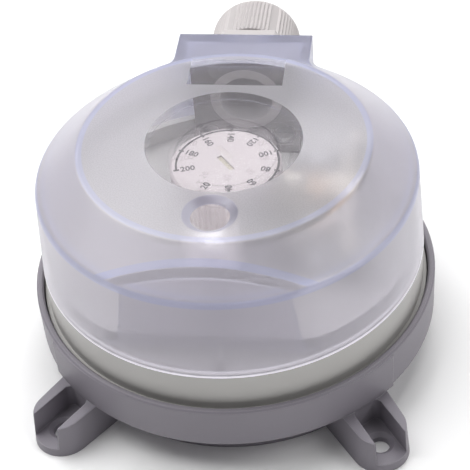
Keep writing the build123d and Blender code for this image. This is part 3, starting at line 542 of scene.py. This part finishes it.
def raised(bm, thickness, weld):
    # gives flat print a little thickness, all of it upwards
    bmesh.ops.remove_doubles(bm, verts=bm.verts[:], dist=weld)
    bmesh.ops.recalc_face_normals(bm, faces=bm.faces[:])
    for face in bm.faces:
        if face.normal.z < 0:
            face.normal_flip()
    made = bmesh.ops.extrude_face_region(bm, geom=bm.faces[:])
    upper = [item for item in made["geom"] if isinstance(item, bmesh.types.BMVert)]
    bmesh.ops.translate(bm, verts=upper, vec=(0, 0, thickness))
    bmesh.ops.recalc_face_normals(bm, faces=bm.faces[:])


def addDialRing(part, height):
    # an open ring from the first figure to the last, spun from one short edge
    bm = bmesh.new()
    lastAngle = part["firstAngle"] + part["stepAngle"] * (len(part["values"]) - 1)
    start = Matrix.Rotation(math.radians(part["firstAngle"]), 4, "Z")
    ends = [bm.verts.new(start @ Vector((part["ringRadius"] + offset, 0, 0)))
            for offset in (-part["ringWidth"] / 2, part["ringWidth"] / 2)]
    edge = bm.edges.new(ends)
    bmesh.ops.spin(bm, geom=[*ends, edge], cent=(0, 0, 0), axis=(0, 0, 1),
                   angle=math.radians(lastAngle - part["firstAngle"]), steps=part["ringSegments"])
    raised(bm, part["thickness"], part["weld"])
    bmesh.ops.translate(bm, verts=bm.verts[:], vec=Vector(part["middle"]) + Vector((0, 0, height)))
    return meshFrom(bm, "dialRing")


def addDialTicks(part, height):
    bm = bmesh.new()
    for index in range(len(part["values"])):
        made = bmesh.ops.create_grid(bm, x_segments=1, y_segments=1, size=0.5)
        bmesh.ops.scale(bm, vec=(part["tickLength"], part["tickWidth"], 1), verts=made["verts"])
        bmesh.ops.transform(bm, matrix=onDial(part, index, part["tickRadius"], height), verts=made["verts"])
    raised(bm, part["tickThickness"], part["weld"])
    return meshFrom(bm, "dialTicks")


def figureMesh(words, part):
    # one figure as a mesh, centred on its own middle
    curve = bpy.data.curves.new("figure", "FONT")
    curve.body = words
    curve.size = part["figureHeight"] / part["figureShare"]
    curve.align_x = "CENTER"
    curve.align_y = "CENTER"
    curve.resolution_u = part["figureCurves"]
    curve.offset = part["figureWeight"]
    curve.extrude = part["thickness"] / 2
    holder = bpy.data.objects.new("figure", curve)
    bpy.context.scene.collection.objects.link(holder)
    bpy.context.view_layer.update()
    mesh = bpy.data.meshes.new_from_object(holder.evaluated_get(bpy.context.evaluated_depsgraph_get()))
    bpy.data.objects.remove(holder)
    bpy.data.curves.remove(curve)
    return mesh


def addFigures(part, height):
    bm = bmesh.new()
    for index, value in enumerate(part["values"]):
        figure = figureMesh(str(value), part)
        spot = onDial(part, index, part["figureRadius"], height + part["thickness"] / 2)
        figure.transform(spot @ Matrix.Rotation(math.pi, 4, "Z"))
        bm.from_mesh(figure)
        bpy.data.meshes.remove(figure)
    return meshFrom(bm, "dialFigures")


def addDialPrint(part):
    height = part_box("knob")[1].z + part["lift"]
    ink = mouldedPlastic(**part["ink"])
    for mesh in (addDialRing(part, height), addDialTicks(part, height), addFigures(part, height)):
        mesh.materials.clear()
        mesh.materials.append(ink)
        piece = bpy.data.objects.new(mesh.name, mesh)
        bpy.context.scene.collection.objects.link(piece)
        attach(piece, "knob")
    print("dial print added")


addDialPrint(dialPrint)


# Floor, light and camera

studio = {
    "floorSize": 3.0,
    "floorColor": (0.96, 0.96, 0.96, 1.0),
    "floorRough": 0.8,
    "worldColor": (1.0, 1.0, 1.0, 1.0),
    "worldStrength": 0.2,
    "backdropStrength": 0.9,
    "lampAim": (0.0, 0.0, 30.0 * mm),
    "lamps": {
        "key": {"spot": (-0.45, 0.2, 0.9), "size": 0.9, "power": 9.5},
        "fill": {"spot": (0.6, -0.1, 0.6), "size": 0.45, "power": 1.8},
        "back": {"spot": (0.15, 0.5, 0.9), "size": 0.5, "power": 4.5},
    },
}


def addFloor(part):
    bm = bmesh.new()
    bmesh.ops.create_grid(bm, x_segments=1, y_segments=1, size=part["floorSize"] / 2)
    mesh = meshFrom(bm, "floor")
    floor = bpy.data.objects.new("floor", mesh)
    bpy.context.scene.collection.objects.link(floor)
    material, tree, shader = newMaterial("studio floor")
    feed(tree, shader, "Base Color", part["floorColor"])
    feed(tree, shader, "Roughness", part["floorRough"])
    mesh.materials.append(material)


def addLamp(name, aim, spot, size, power):
    light = bpy.data.lights.new(name, "AREA")
    light.size = size
    light.energy = power
    lamp = bpy.data.objects.new(name, light)
    lamp.location = spot
    lamp.rotation_euler = (Vector(aim) - Vector(spot)).to_track_quat("-Z", "Y").to_euler()
    bpy.context.scene.collection.objects.link(lamp)


def addWorld(part):
    # the camera sees a bright backdrop, while the pieces are lit by a dimmer one
    world = bpy.data.worlds.new("studio")
    world.use_nodes = True
    tree = world.node_tree
    back = tree.nodes["Background"]
    seen = addNode(tree, "ShaderNodeLightPath").outputs["Is Camera Ray"]
    feed(tree, back, "Color", part["worldColor"])
    feed(tree, back, "Strength", step(tree, seen, 0.0, 1.0, part["worldStrength"], part["backdropStrength"]))
    bpy.context.scene.world = world


cameraView = {
    "imagePixels": 470,
    "focalPixels": 1450.0,
    "sensorWidth": 36.0,
    "aim": (0.0, 0.0, 25.0 * mm),
    "distance": 304.6 * mm,
    "nearest": 10.0 * mm,
    "elevation": 42.36,
    "azimuth": 10.25,
    "roll": -5.16,
    "pan": 0.11,
    "tilt": -0.084,
}


def addCamera(view):
    # the camera circles the aim point, then pans, tilts and rolls a little
    azimuth, elevation, roll, pan, tilt = (
        math.radians(view[name]) for name in ("azimuth", "elevation", "roll", "pan", "tilt"))
    back = Vector((math.sin(azimuth) * math.cos(elevation), -math.cos(azimuth) * math.cos(elevation),
                   math.sin(elevation)))
    right = Vector((math.cos(azimuth), math.sin(azimuth), 0))
    forward = (-back + right * math.tan(pan) + back.cross(right) * math.tan(tilt)).normalized()
    level = forward.cross(Vector((0, 0, 1))).normalized()
    upright = level.cross(forward)
    side = level * math.cos(roll) + upright * math.sin(roll)
    top = upright * math.cos(roll) - level * math.sin(roll)
    data = bpy.data.cameras.new("camera")
    data.sensor_fit = "HORIZONTAL"
    data.sensor_width = view["sensorWidth"]
    data.lens = view["focalPixels"] / view["imagePixels"] * view["sensorWidth"]
    data.clip_start = view["nearest"]
    camera = bpy.data.objects.new("camera", data)
    spot = Vector(view["aim"]) + back * view["distance"]
    camera.matrix_world = Matrix.Translation(spot) @ Matrix((side, top, -forward)).transposed().to_4x4()
    bpy.context.scene.collection.objects.link(camera)
    bpy.context.scene.camera = camera


addFloor(studio)
addWorld(studio)
for lampName, lamp in studio["lamps"].items():
    addLamp(lampName, studio["lampAim"], **lamp)
addCamera(cameraView)
bpy.context.scene.view_settings.view_transform = "Standard"
print("floor, light and camera set")
